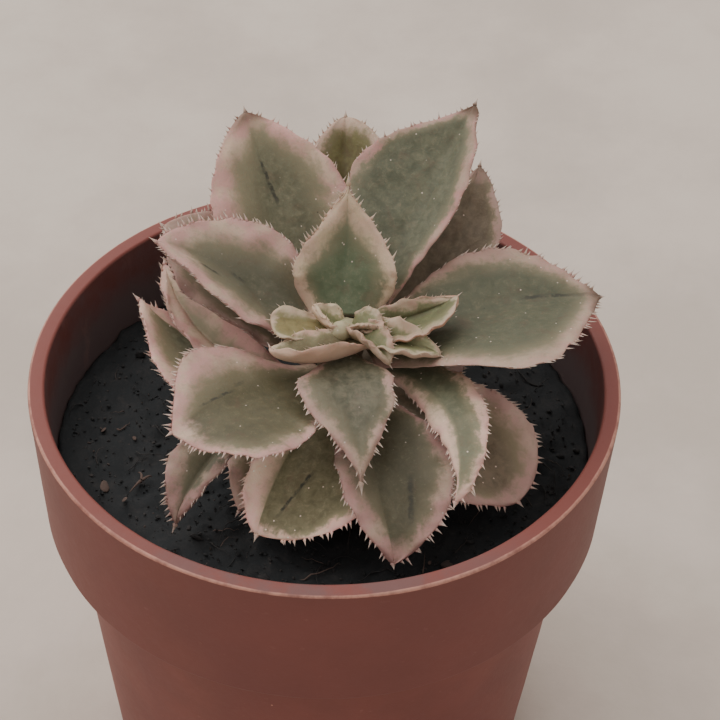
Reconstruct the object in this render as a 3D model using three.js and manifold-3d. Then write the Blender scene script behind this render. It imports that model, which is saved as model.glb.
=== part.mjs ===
// A potted aeonium: one rosette of broad, toothed leaves on a short stem, in the soil of a
// round plastic nursery pot with a stepped collar.
// Millimetres, +Z up. The origin is the middle of the pot's foot, on the surface it stands on.
// -Y is the front of the plant, where the lowest leaves hang over the soil.
import * as THREE from 'three';
import { mergeVertices } from 'three/addons/utils/BufferGeometryUtils.js';
import Module from 'manifold-3d';

const wasm = await Module();
wasm.setup();

// ---------------------------------------------------------------- driving dimensions
const potHeight = 80;
const rimRadius = 45;
const rimLand = 2.6;
const collarHeight = 24;
const collarDraft = 1.4;
const stepWidth = 3.8;
const stepChamfer = 0.6;
const footRadius = 34;
const potWall = 1.8;
const footRecess = 2;
const footRingWidth = 3;
const floorThickness = 2;
const drainHoles = { count: 6, radius: 3, pitchRadius: 20, sides: 16 };
const potSides = 64;

const clearance = 0.3;
const soilDepthBelowRim = 14.5;
const soilLump = 0.45;
const soilMound = { height: 1.6, spread: 20 };
const soilRings = [40, 36, 31.5, 27, 22, 17, 12, 8];
const soilSides = 40;

const stemRadius = 3.4;
const stemFoot = { x: 1, y: 3, z: 56 };
const stemTop = { x: 2.5, y: 0.5, z: 87 };
const stemSides = 12;
const stemRings = 8;

const bladeThickness = 1.5;
const marginThickness = 0.7;
const toothLength = 1.2;
const toothLean = 0.7;
const toothPlace = 0.75;
const midribReach = 0.36;
const openBy = 0.35;
const swellPower = 1.5;
const columns = [-1, -0.55, 0, 0.55, 1];
const sliver = 0.05;

// ---------------------------------------------------------------- helpers
const radians = THREE.MathUtils.degToRad;
const quarterTurn = Math.PI / 2;
const weld = 1e-4;

function solidOf(geometry) {
  const bare = geometry.clone();
  bare.deleteAttribute('normal');
  bare.deleteAttribute('uv');
  const merged = mergeVertices(bare, weld);
  return new wasm.Manifold(new wasm.Mesh({
    numProp: 3,
    vertProperties: new Float32Array(merged.attributes.position.array),
    triVerts: new Uint32Array(merged.index.array),
  }));
}

function geometryOf(solid) {
  const mesh = solid.getMesh();
  const geometry = new THREE.BufferGeometry();
  geometry.setAttribute('position', new THREE.BufferAttribute(new Float32Array(mesh.vertProperties), 3));
  geometry.setIndex(new THREE.BufferAttribute(new Uint32Array(mesh.triVerts), 1));
  return geometry;
}

// Turns about +Z a profile given as [radius, height] pairs.
function turned(profile, sides) {
  const geometry = new THREE.LatheGeometry(profile.map(([r, z]) => new THREE.Vector2(r, z)), sides);
  geometry.rotateX(quarterTurn);
  return geometry;
}

function standingCylinder(radius, bottom, top, sides) {
  const geometry = new THREE.CylinderGeometry(radius, radius, top - bottom, sides);
  geometry.rotateX(quarterTurn);
  geometry.translate(0, 0, (top + bottom) / 2);
  return geometry;
}

// ---------------------------------------------------------------- the pot and its soil
const collarBottom = potHeight - collarHeight;
const collarBottomRadius = rimRadius - collarDraft;
const bodyTopRadius = collarBottomRadius - stepWidth;
const bodySlope = (bodyTopRadius - footRadius) / collarBottom;
const rimInnerRadius = rimRadius - rimLand;
const collarInnerBottomRadius = rimInnerRadius - collarDraft;
const innerStepHeight = collarBottom + potWall;
const floorTop = footRecess + floorThickness;

function bodyRadius(z) {
  return footRadius + bodySlope * z;
}

function makePot() {
  const footRingInner = footRadius - footRingWidth;
  const shoulder = collarBottom - stepWidth / 3;
  const innerShoulder = innerStepHeight - potWall;
  let pot = solidOf(turned([
    [0, footRecess],
    [footRingInner - footRecess, footRecess],
    [footRingInner, 0],
    [footRadius, 0],
    [bodyRadius(shoulder), shoulder],
    [collarBottomRadius - stepChamfer, collarBottom],
    [collarBottomRadius, collarBottom + stepChamfer],
    [rimRadius, potHeight - stepChamfer],
    [rimRadius - stepChamfer, potHeight],
    [rimInnerRadius, potHeight],
    [collarInnerBottomRadius, innerStepHeight],
    [bodyRadius(innerShoulder) - potWall, innerShoulder],
    [bodyRadius(floorTop) - potWall, floorTop],
    [0, floorTop],
  ], potSides));
  for (let i = 0; i < drainHoles.count; i += 1) {
    const angle = (i * 4 * quarterTurn) / drainHoles.count;
    const hole = standingCylinder(drainHoles.radius, -1, floorTop + 1, drainHoles.sides);
    hole.translate(drainHoles.pitchRadius * Math.cos(angle), drainHoles.pitchRadius * Math.sin(angle), 0);
    pot = pot.subtract(solidOf(hole));
  }
  return geometryOf(pot);
}

const soilTop = potHeight - soilDepthBelowRim;

// The lumps of the soil's surface, higher by the stem than by the wall.
function soilHeight(x, y) {
  const lumps = Math.sin(0.42 * x + 1.1) * Math.cos(0.37 * y - 0.6)
    + 0.6 * Math.sin(0.83 * x - 0.5 * y) * Math.cos(0.29 * x + 0.71 * y + 2);
  const mound = soilMound.height * Math.exp(-(x * x + y * y) / soilMound.spread ** 2);
  return soilTop + mound + soilLump * lumps;
}

function makeSoil() {
  const radiusAt = (z) => {
    const t = (z - innerStepHeight) / (potHeight - innerStepHeight);
    return collarInnerBottomRadius + collarDraft * t - clearance;
  };
  const bodyInner = (z) => bodyRadius(z) - potWall - clearance;
  const stepZ = innerStepHeight + clearance;
  const profile = [
    [0, floorTop + clearance],
    [bodyInner(floorTop), floorTop + clearance],
    [bodyInner(innerStepHeight - potWall), innerStepHeight - potWall],
    [radiusAt(stepZ) - clearance, stepZ + clearance],
    [radiusAt(soilTop), soilTop],
    ...soilRings.map((r) => [r, soilTop]),
    [0, soilTop],
  ];
  const geometry = turned(profile, soilSides);
  const position = geometry.attributes.position;
  for (let i = 0; i < position.count; i += 1) {
    if (position.getZ(i) > soilTop - clearance) {
      position.setZ(i, soilHeight(position.getX(i), position.getY(i)));
    }
  }
  const well = standingCylinder(stemRadius + 2 * clearance, stemFoot.z - clearance, potHeight, stemSides);
  well.translate(stemFoot.x, stemFoot.y, 0);
  return geometryOf(solidOf(geometry).subtract(solidOf(well)));
}

// ---------------------------------------------------------------- the stem
function stemAxis(z) {
  const t = (z - soilTop) / (stemTop.z - soilTop);
  const lean = Math.max(t, 0);
  return new THREE.Vector3(
    stemFoot.x + (stemTop.x - stemFoot.x) * lean,
    stemFoot.y + (stemTop.y - stemFoot.y) * lean,
    z,
  );
}

function makeStem() {
  const geometry = new THREE.CylinderGeometry(stemRadius, stemRadius, 1, stemSides, stemRings);
  geometry.rotateX(quarterTurn);
  geometry.translate(0, 0, 0.5);
  const position = geometry.attributes.position;
  const top = stemTop.z - clearance;
  for (let i = 0; i < position.count; i += 1) {
    const z = stemFoot.z + (top - stemFoot.z) * position.getZ(i);
    const centre = stemAxis(z);
    position.setXYZ(i, centre.x + position.getX(i), centre.y + position.getY(i), z);
  }
  return geometry;
}

// ---------------------------------------------------------------- leaves
// A leaf springs from the stem at height `at`, `root` away from the stem's axis, and runs to its
// tip. `start` and `end` are the slopes of its midrib at the two ends, and `bend` springs it from
// further round the stem, to curve back. `width` is the whole blade's, `belly` is where along the
// midrib it is widest, and `foot` is the share of the width that is left at the stem. Looking out
// from the stem, each half has its own share of the width (`wide`), its own roundness towards the
// tip (`round`, smaller is blunter) and its own rise from the midrib (`fold`), as [left, right].
// `curl` is how much more the halves bend up towards the margins, and `turn` rolls the blade.
const plainLeaf = {
  root: stemRadius + clearance,
  start: 20,
  end: 0,
  bend: 0,
  width: 17,
  belly: 0.6,
  foot: 0.25,
  wide: [1, 1],
  round: [0.9, 0.9],
  fold: [12, 12],
  curl: 12,
  turn: 0,
  teeth: 14,
};

const leaves = {
  leaf_back_left: {
    at: 82, tip: [-14, 33, 104], start: 10, end: 50, width: 23, round: [0.7, 0.8], wide: [1, 1.05],
  },
  leaf_back_middle: {
    at: 80, tip: [1.5, 40, 98.5], start: 10, end: 45, width: 15, belly: 0.7, fold: [20, 20],
    wide: [0.95, 1.2], round: [0.6, 0.5], teeth: 10,
  },
  leaf_back_right: {
    at: 85.2, tip: [21.5, 33, 107], start: 23, end: 45, width: 23, belly: 0.62, fold: [5, 25],
    wide: [1.15, 0.62], round: [1.15, 0.8],
  },
  leaf_behind_right: {
    at: 79, tip: [23, 33, 95], start: 5, end: 40, width: 20, belly: 0.55, bend: -18, wide: [0.7, 0.85],
    round: [0.9, 0.7],
  },
  leaf_right: {
    at: 84, tip: [41.5, 9.5, 89], width: 21, bend: 4, wide: [1, 2.05], round: [0.95, 1],
  },
  leaf_upright: {
    at: 87.4, tip: [2.5, 17, 103], root: 4.2, start: 30, end: 75, width: 17, belly: 0.3, foot: 0.6,
    fold: [15, 15], curl: 20, round: [1.2, 1.2],
  },
  leaf_left: {
    at: 85, tip: [-25.8, 8, 98], end: 25, width: 20, belly: 0.45, bend: -8, wide: [0.78, 1.2],
    round: [0.9, 0.7],
  },
  leaf_behind_left: {
    at: 79, tip: [-26, 19, 92], start: 10, end: 30, width: 16, belly: 0.7, wide: [1, 1.4], round: [0.9, 0.6],
  },
  leaf_low_left: {
    at: 74, tip: [-29.5, 13, 82], start: -10, end: 50, width: 20, belly: 0.55, wide: [1.4, 0.5],
    round: [0.9, 1.2],
  },
  leaf_folded: {
    at: 77, tip: [-26, 19.5, 84], start: 0, end: 35, bend: 42, width: 13, wide: [0.6, 1], fold: [25, 30],
    curl: 15, teeth: 10,
  },
  leaf_front_left: {
    at: 82, tip: [-21.5, -20, 86], start: 10, end: -10, width: 22, belly: 0.65, bend: 10, wide: [1.25, 1],
    round: [0.6, 1], fold: [3, 12],
  },
  leaf_drooping: {
    at: 75, tip: [-21, -24, 71], start: 10, end: -50, width: 14, belly: 0.7, bend: -12, wide: [0.4, 0.8],
    fold: [20, 20],
  },
  leaf_under: { at: 72.5, tip: [-12, -20, 70], start: 0, end: -20, width: 14, teeth: 10 },
  leaf_front_middle: {
    at: 77, tip: [-9, -25.5, 71], start: 0, end: -30, width: 20, belly: 0.65, wide: [1.5, 0.5],
    round: [0.45, 0.6], fold: [6, 12],
  },
  leaf_front: {
    at: 80.5, tip: [11, -33, 74], start: 5, end: -40, width: 19, belly: 0.62, bend: 4, wide: [1.15, 0.68],
    round: [0.7, 0.9], fold: [5, 12],
  },
  leaf_inner_front: {
    at: 87, tip: [6, -26, 83.2], start: 14, end: -40, width: 15.5, belly: 0.35, turn: -10, wide: [0.82, 1],
    round: [1.2, 1.5], fold: [12, -10],
  },
  leaf_inner_front_right: {
    at: 80.5, tip: [19.5, -28, 82], start: 15, end: -45, width: 16, belly: 0.5, bend: 50,
    wide: [0.66, 0.42], round: [0.65, 1.6], fold: [12, -30],
  },
  leaf_front_right: {
    at: 77, tip: [29.5, -17, 71], start: 0, end: -20, width: 21, belly: 0.65, bend: 12, wide: [1, 1.3],
    round: [0.5, 0.6],
  },
  leaf_low_back: { at: 75, tip: [6, 30, 79], start: 5, end: 10, width: 18 },
  leaf_low_right: { at: 73, tip: [22, 13, 75], start: 0, end: 10, width: 16 },
};

function midrib(leaf, s) {
  const foot = stemAxis(leaf.at);
  const tip = new THREE.Vector3(...leaf.tip);
  const azimuth = Math.atan2(tip.y - foot.y, tip.x - foot.x);
  const heading = (yaw, slope) => new THREE.Vector3(
    Math.cos(azimuth + yaw) * Math.cos(slope),
    Math.sin(azimuth + yaw) * Math.cos(slope),
    Math.sin(slope),
  );
  const bend = radians(leaf.bend);
  const base = foot.addScaledVector(heading(bend, 0), leaf.root);
  const reach = tip.distanceTo(base) * midribReach;
  const curve = new THREE.CubicBezierCurve3(
    base,
    base.clone().addScaledVector(heading(bend, radians(leaf.start)), reach),
    tip.clone().addScaledVector(heading(-bend, radians(leaf.end)), -reach),
    tip,
  );
  const forward = curve.getTangent(s);
  const across = new THREE.Vector3(-forward.y, forward.x, 0).normalize();
  const up = new THREE.Vector3().crossVectors(forward, across);
  return { point: curve.getPoint(s), forward, across, up };
}

function halfWidth(leaf, half, s) {
  const toBelly = Math.min(s / leaf.belly, 1);
  const pastBelly = Math.max((s - leaf.belly) / (1 - leaf.belly), 0);
  const swell = leaf.foot + (1 - leaf.foot) * Math.sin(quarterTurn * toBelly) ** swellPower;
  const taper = Math.max(Math.cos(quarterTurn * pastBelly), 0) ** leaf.round[half];
  return (leaf.width / 2) * leaf.wide[half] * swell * taper;
}

// The place on the blade at `s` along the midrib and `t` across it, from -1 at the right margin
// to 1 at the left, with the blade's upward normal and the way out past that margin.
function blade(leaf, s, t) {
  const { point, forward, across, up } = midrib(leaf, s);
  const half = t >= 0 ? 0 : 1;
  const sign = t >= 0 ? 1 : -1;
  const ramp = THREE.MathUtils.smoothstep(s, 0, openBy);
  const width = halfWidth(leaf, half, s);
  const fold = radians(leaf.fold[half]) * ramp;
  const curl = Math.max(radians(leaf.curl) * ramp, 1e-6);
  const turn = radians(leaf.turn) * ramp;
  const angle = fold + curl * Math.abs(t);
  const flat = (sign * width * (Math.sin(angle) - Math.sin(fold))) / curl;
  const lift = (width * (Math.cos(fold) - Math.cos(angle))) / curl;
  const tilt = (t === 0 ? 0 : sign * angle) + turn;
  const place = (x, y) => new THREE.Vector3()
    .addScaledVector(across, x * Math.cos(turn) - y * Math.sin(turn))
    .addScaledVector(up, x * Math.sin(turn) + y * Math.cos(turn));
  return {
    point: place(flat, lift).add(point),
    normal: new THREE.Vector3()
      .addScaledVector(across, -Math.sin(tilt))
      .addScaledVector(up, Math.cos(tilt)),
    outward: new THREE.Vector3()
      .addScaledVector(across, sign * Math.cos(tilt))
      .addScaledVector(up, sign * Math.sin(tilt)),
    forward,
  };
}

// A closed blade: the same triangles on its upper and lower faces, joined round the margin.
function makeLeaf(spec) {
  const leaf = { ...plainLeaf, ...spec };
  const outline = [];
  const faces = [];
  const add = (point, normal, thickness) => {
    outline.push({ point, normal, thickness });
    return outline.length - 1;
  };
  const rows = [];
  for (let i = 0; i < leaf.teeth; i += 1) {
    const s = i / leaf.teeth;
    rows.push(columns.map((t) => {
      const { point, normal } = blade(leaf, s, t);
      return add(point, normal, THREE.MathUtils.lerp(bladeThickness, marginThickness, t * t));
    }));
  }
  const end = midrib(leaf, 1);
  const apex = add(end.point, end.up, marginThickness);
  const last = columns.length - 1;
  for (let i = 0; i + 1 < rows.length; i += 1) {
    for (let j = 0; j < last; j += 1) {
      faces.push([rows[i][j], rows[i + 1][j], rows[i + 1][j + 1]]);
      faces.push([rows[i][j], rows[i + 1][j + 1], rows[i][j + 1]]);
    }
  }
  for (let j = 0; j < last; j += 1) {
    faces.push([rows[rows.length - 1][j], apex, rows[rows.length - 1][j + 1]]);
  }
  const toothAt = (i, column, t) => {
    const s = (i + toothPlace) / leaf.teeth;
    const { point, normal, outward, forward } = blade(leaf, s, t);
    const length = toothLength * Math.min(1, halfWidth(leaf, t > 0 ? 0 : 1, s) / (2 * toothLength));
    const tip = point.clone().addScaledVector(outward, length).addScaledVector(forward, length * toothLean);
    const tooth = add(tip, normal, marginThickness);
    faces.push(t > 0
      ? [rows[i][column], rows[i + 1][column], tooth]
      : [rows[i][column], tooth, rows[i + 1][column]]);
    return tooth;
  };
  const right = [rows[0][0], rows[1][0]];
  const left = [rows[0][last], rows[1][last]];
  for (let i = 1; i + 1 < rows.length; i += 1) {
    right.push(toothAt(i, 0, -1), rows[i + 1][0]);
    left.push(toothAt(i, last, 1), rows[i + 1][last]);
  }
  const foot = rows[0].slice(1, last);
  const loop = [...right, apex, ...left.reverse(), ...foot.reverse()];
  const count = outline.length;
  const positions = [];
  for (const face of [1, -1]) {
    for (const { point, normal, thickness } of outline) {
      positions.push(...point.clone().addScaledVector(normal, (face * thickness) / 2).toArray());
    }
  }
  const index = [];
  for (const [a, b, c] of faces) {
    index.push(a, b, c);
    index.push(a + count, c + count, b + count);
  }
  loop.forEach((a, k) => {
    const b = loop[(k + 1) % loop.length];
    index.push(a, a + count, b + count);
    index.push(a, b + count, b);
  });
  const geometry = new THREE.BufferGeometry();
  geometry.setAttribute('position', new THREE.Float32BufferAttribute(positions, 3));
  geometry.setIndex(index);
  return geometry;
}

// ---------------------------------------------------------------- the heart of the rosette
const heartCore = { radius: 3.1, height: 2.6, bottom: stemTop.z };
const heartLeaf = {
  at: 88, root: 0.8, foot: 0.5, belly: 0.5, teeth: 7, fold: [35, 35], curl: 40, round: [0.7, 0.7],
};
const heartLeaves = [
  {
    at: 89.2, root: 3, tip: [-8.1, -5.6, 90], start: 0, end: 10, bend: 95, width: 12, belly: 0.5, foot: 0.5,
    wide: [0.67, 0.8], round: [1, 0.5], fold: [58, 15], curl: 28, teeth: 9,
  },
  {
    at: 89, tip: [-8.3, -1.2, 91.5], start: 15, end: 15, width: 8, belly: 0.8, foot: 0.2, wide: [1.2, 0.6],
    round: [0.4, 0.4], fold: [-5, 20], curl: 20,
  },
  {
    at: 88.5, tip: [-2, 0.3, 93.3], root: -1, start: 10, end: 70, width: 9, wide: [0.9, 0.7], fold: [15, 15],
    curl: 45, teeth: 4,
  },
  { tip: [8.2, -1.6, 90.8], start: 60, end: -45, width: 6, fold: [15, 20] },
  { tip: [9.6, -7.6, 89.3], start: 45, end: -30, width: 7, fold: [20, 35] },
  { tip: [9.4, -2.9, 92], start: 20, end: 50, width: 4 },
  {
    tip: [17, -6.4, 90.4], start: 10, end: 0, width: 10, belly: 0.45, wide: [0.75, 0.9], fold: [35, 10],
    curl: 30,
  },
  {
    tip: [19.5, 4, 93], root: 2, start: 6, end: 40, width: 10, belly: 0.45, wide: [0.65, 1.6], round: [0.9, 0.3],
    fold: [50, 8], curl: 30, teeth: 9,
  },
];
const bud = { x: 2.1, y: -2.2, z: 90.6, radius: 1.6 };

function makeHeart() {
  const centre = stemAxis(heartCore.bottom);
  const core = turned([
    [0, 0],
    [heartCore.radius, 0],
    [heartCore.radius * 0.9, heartCore.height * 0.55],
    [heartCore.radius * 0.5, heartCore.height * 0.9],
    [0, heartCore.height],
  ], stemSides);
  core.translate(centre.x, centre.y, heartCore.bottom);
  const tipBud = new THREE.SphereGeometry(bud.radius, 10, 6);
  tipBud.rotateX(quarterTurn);
  tipBud.translate(bud.x, bud.y, bud.z);
  let heart = solidOf(core).add(solidOf(tipBud));
  for (const spec of heartLeaves) {
    heart = heart.add(solidOf(makeLeaf({ ...heartLeaf, ...spec })));
  }
  const fused = solidOf(geometryOf(heart));
  return geometryOf(fused.simplify(sliver));
}

// ---------------------------------------------------------------- the plant in its pot
const finishes = {
  pot: { color: 0x8f4a3e, roughness: 0.55, metalness: 0 },
  soil: { color: 0x1b1a1a, roughness: 1, metalness: 0 },
  stem: { color: 0x8a7a5c, roughness: 0.8, metalness: 0 },
  leaf: { color: 0x7c7a5e, roughness: 0.6, metalness: 0 },
  heart: { color: 0xa6a184, roughness: 0.6, metalness: 0 },
};

const pottedAeonium = new THREE.Group();

function place(name, geometry, finish) {
  const mesh = new THREE.Mesh(geometry, new THREE.MeshStandardMaterial(finishes[finish]));
  mesh.name = name;
  pottedAeonium.add(mesh);
}

place('pot', makePot(), 'pot');
place('soil', makeSoil(), 'soil');
place('stem', makeStem(), 'stem');
place('heart', makeHeart(), 'heart');
for (const [name, spec] of Object.entries(leaves)) {
  place(name, makeLeaf(spec), 'leaf');
}

export default pottedAeonium;
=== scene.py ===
"""A potted aeonium: a rosette of broad, ciliate leaves on a short stem, in a round plastic pot.

The sizes in the classes are millimetres, as a maker would note them. Every mesh is built in
millimetres and scaled to metres as the last step of its making. The frame's origin is the middle
of the pot's foot, +Z is up, and -Y is the front of the plant.
"""
import logging
import math
import random
from dataclasses import dataclass, field, replace
from enum import Enum
from functools import lru_cache
from typing import Callable, Iterable, NamedTuple

import bmesh
import bpy
from mathutils import Matrix, Vector, noise


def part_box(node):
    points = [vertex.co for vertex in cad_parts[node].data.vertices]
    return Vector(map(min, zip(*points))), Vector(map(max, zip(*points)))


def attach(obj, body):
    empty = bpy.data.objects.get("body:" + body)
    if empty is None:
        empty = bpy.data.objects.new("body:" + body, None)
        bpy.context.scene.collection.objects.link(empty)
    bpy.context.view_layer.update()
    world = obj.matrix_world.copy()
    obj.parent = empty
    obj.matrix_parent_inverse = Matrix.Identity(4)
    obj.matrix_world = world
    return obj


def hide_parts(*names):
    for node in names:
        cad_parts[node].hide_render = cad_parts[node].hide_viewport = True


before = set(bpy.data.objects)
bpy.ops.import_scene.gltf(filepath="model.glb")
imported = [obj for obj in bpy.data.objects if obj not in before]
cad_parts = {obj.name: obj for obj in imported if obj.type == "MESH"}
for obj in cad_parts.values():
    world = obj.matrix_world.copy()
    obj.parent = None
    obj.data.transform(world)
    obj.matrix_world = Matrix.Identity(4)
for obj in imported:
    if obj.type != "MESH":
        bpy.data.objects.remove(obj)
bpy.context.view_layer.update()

MM = 0.001
Colour = tuple[float, float, float, float]
log = logging.getLogger("potted_aeonium")


def tone(red: int, green: int, blue: int) -> Colour:
    """Returns a scene-linear colour for a tone that is noted as 0 to 255 on a display."""
    shares = (channel / 255 for channel in (red, green, blue))
    return (*(s / 12.92 if s <= 0.04045 else ((s + 0.055) / 1.055) ** 2.4 for s in shares), 1.0)


def smoothstep(value: float, low: float, high: float) -> float:
    """Returns 0 below low, 1 above high, and a smooth rise between them."""
    share = min(max((value - low) / (high - low), 0.0), 1.0)
    return share * share * (3 - 2 * share)


def polar(radius: float, angle: float, height: float = 0.0) -> Vector:
    """Returns the point at a radius and an angle about +Z, at a height."""
    return Vector((radius * math.cos(angle), radius * math.sin(angle), height))


def mesh_of(bm: bmesh.types.BMesh, name: str) -> bpy.types.Mesh:
    """Returns a named mesh of what was built, and frees what built it."""
    mesh = bpy.data.meshes.new(name)
    bm.to_mesh(mesh)
    bm.free()
    return mesh


def linked(name: str, data: bpy.types.ID) -> bpy.types.Object:
    """Returns a new object with that data, linked into the scene."""
    made = bpy.data.objects.new(name, data)
    bpy.context.scene.collection.objects.link(made)
    return made


# ---------------------------------------------------------------- shader maths
class Value:
    """A number socket of a material's tree that Python's operators work on."""

    def __init__(self, shade: "Shade", socket: bpy.types.NodeSocket) -> None:
        """Keeps the socket and the material that it belongs to."""
        self.shade = shade
        self.socket = socket

    def math(self, operation: str, *others: "Value | float", clamp: bool = False) -> "Value":
        """Adds a Math node.

        Args:
            operation: The node's operation.
            others: What follows this value in the node's inputs.
            clamp: Whether the result is kept from 0 to 1.

        Returns:
            The node's result.
        """
        inputs = dict(enumerate((self, *others)))
        made = self.shade.node("ShaderNodeMath", {"operation": operation, "use_clamp": clamp}, inputs)
        return Value(self.shade, made.outputs[0])

    def __add__(self, other: "Value | float") -> "Value":
        """Returns the sum."""
        return self.math("ADD", other)

    __radd__ = __add__

    def __sub__(self, other: "Value | float") -> "Value":
        """Returns the difference."""
        return self.math("SUBTRACT", other)

    def __rsub__(self, other: float) -> "Value":
        """Returns a number less this value."""
        return (self * -1.0) + other

    def __mul__(self, other: "Value | float") -> "Value":
        """Returns the product."""
        return self.math("MULTIPLY", other)

    __rmul__ = __mul__

    def __truediv__(self, other: "Value | float") -> "Value":
        """Returns the quotient."""
        return self.math("DIVIDE", other)

    def __pow__(self, other: float) -> "Value":
        """Returns the power."""
        return self.math("POWER", other)

    def __abs__(self) -> "Value":
        """Returns the size without its sign."""
        return self.math("ABSOLUTE")

    def lower(self, other: "Value | float") -> "Value":
        """Returns the smaller of the two."""
        return self.math("MINIMUM", other)

    def higher(self, other: "Value | float") -> "Value":
        """Returns the larger of the two."""
        return self.math("MAXIMUM", other)

    def rise(self, low: float, high: float) -> "Value":
        """Returns 0 below low, 1 above high, and a smooth rise between them."""
        inputs = {"Value": self, "From Min": low, "From Max": high}
        made = self.shade.node("ShaderNodeMapRange", {"interpolation_type": "SMOOTHSTEP"}, inputs)
        return Value(self.shade, made.outputs["Result"])

    def fall(self, low: float, high: float) -> "Value":
        """Returns 1 below low, 0 above high, and a smooth fall between them."""
        return 1.0 - self.rise(low, high)


Ink = Colour | bpy.types.NodeSocket


class Shade:
    """A procedural material under construction, with one method that makes its nodes."""

    def __init__(self, name: str) -> None:
        """Starts the material with its output and principled shader."""
        self.material = bpy.data.materials.new(name)
        self.material.use_nodes = True
        self.tree = self.material.node_tree
        self.tree.nodes.clear()
        self.shader = self.node("ShaderNodeBsdfPrincipled")
        self.node("ShaderNodeOutputMaterial", inputs={"Surface": self.shader.outputs[0]})
        self.place = self.node("ShaderNodeTexCoord").outputs["Object"]

    def node(self, kind: str, settings: dict | None = None, inputs: dict | None = None) -> bpy.types.Node:
        """Adds a node.

        Args:
            kind: The node's type.
            settings: Its own settings, such as an operation, which are set first.
            inputs: What its sockets take, by name or number: a number, a colour, a link or a Value.

        Returns:
            The node.
        """
        made = self.tree.nodes.new(kind)
        for name, setting in (settings or {}).items():
            setattr(made, name, setting)
        for name, given in (inputs or {}).items():
            self.feed(made.inputs[name], given)
        return made

    def feed(self, socket: bpy.types.NodeSocket, given: object) -> None:
        """Links or sets one input socket."""
        if isinstance(given, Value):
            given = given.socket
        if isinstance(given, bpy.types.NodeSocket):
            self.tree.links.new(given, socket)
        else:
            socket.default_value = given

    def attribute(self, name: str) -> Value:
        """Returns a number that the mesh carries at its vertices."""
        return Value(self, self.node("ShaderNodeAttribute", {"attribute_name": name}).outputs["Fac"])

    def axes(self, vector: bpy.types.NodeSocket | None = None) -> tuple[Value, Value, Value]:
        """Returns a vector's three numbers, and the object's own place unless one is given."""
        made = self.node("ShaderNodeSeparateXYZ", inputs={0: vector or self.place})
        return tuple(Value(self, socket) for socket in made.outputs)

    def vector(self, x: Value | float, y: Value | float, z: Value | float) -> bpy.types.NodeSocket:
        """Returns a vector of three numbers."""
        return self.node("ShaderNodeCombineXYZ", inputs={0: x, 1: y, 2: z}).outputs[0]

    def grain(self, size: float, detail: float = 3.0, rough: float = 0.55, warp: float = 0.0,
              where: bpy.types.NodeSocket | None = None) -> Value:
        """Adds a noise.

        Args:
            size: How far apart its lumps are, in millimetres, or in the units of `where`.
            detail: Its octaves.
            rough: How strong the finer octaves are.
            warp: How far it is pulled out of shape.
            where: What it is laid over, if that isn't the object's own place.

        Returns:
            The noise, from 0 to 1.
        """
        scale = 1 / size if where else 1 / (size * MM)
        inputs = {"Vector": where or self.place, "Scale": scale, "Detail": detail,
                  "Roughness": rough, "Distortion": warp}
        return Value(self, self.node("ShaderNodeTexNoise", inputs=inputs).outputs["Fac"])

    def specks(self, pitch: float, radius: float, share: float) -> Value:
        """Returns 1 on small round specks.

        Args:
            pitch: The cell in which one may lie, in millimetres.
            radius: Their radius, in millimetres.
            share: The share of the cells that has one.

        Returns:
            The mask, from 0 to 1.
        """
        cell = self.node("ShaderNodeTexVoronoi", inputs={"Vector": self.place, "Scale": 1 / (pitch * MM)})
        away = Value(self, cell.outputs["Distance"]) * pitch
        chance = self.axes(cell.outputs["Color"])[0]
        return away.fall(radius * 0.5, radius) * chance.fall(share, share + 0.02)

    def mix(self, first: Ink, second: Ink, share: Value | float) -> bpy.types.NodeSocket:
        """Returns a colour between two, at `share` of the way to the second."""
        made = self.node("ShaderNodeMix", {"data_type": "RGBA"})
        self.feed(made.inputs[0], share)
        self.feed(made.inputs[6], first)
        self.feed(made.inputs[7], second)
        return made.outputs[2]

    def scale(self, colour: Ink, factor: float) -> bpy.types.NodeSocket:
        """Returns a colour that is made lighter or darker by a factor."""
        made = self.node("ShaderNodeVectorMath", {"operation": "SCALE"}, {0: colour, "Scale": factor})
        return made.outputs[0]

    def bump(self, height: Value, depth: float) -> bpy.types.NodeSocket:
        """Returns a normal for a relief that is `depth` millimetres high."""
        made = self.node("ShaderNodeBump", inputs={"Height": height, "Strength": 1.0, "Distance": depth * MM})
        return made.outputs[0]

    def finish(self, colour: Ink, roughness: Value | float, normal: bpy.types.NodeSocket,
               **constants: float) -> bpy.types.Material:
        """Feeds the shader and returns the material.

        Args:
            colour: The base colour.
            roughness: The roughness.
            normal: The normal.
            constants: Further shader sockets, by their names with _ for a space.

        Returns:
            The finished material.
        """
        self.feed(self.shader.inputs["Base Color"], colour)
        self.feed(self.shader.inputs["Roughness"], roughness)
        self.feed(self.shader.inputs["Normal"], normal)
        for name, number in constants.items():
            self.feed(self.shader.inputs[name.replace("_", " ")], number)
        return self.material


# ---------------------------------------------------------------- mesh making
Layers = dict[str, float]
SKIN = ("edge", "along", "across", "underside", "cilium")


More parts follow.
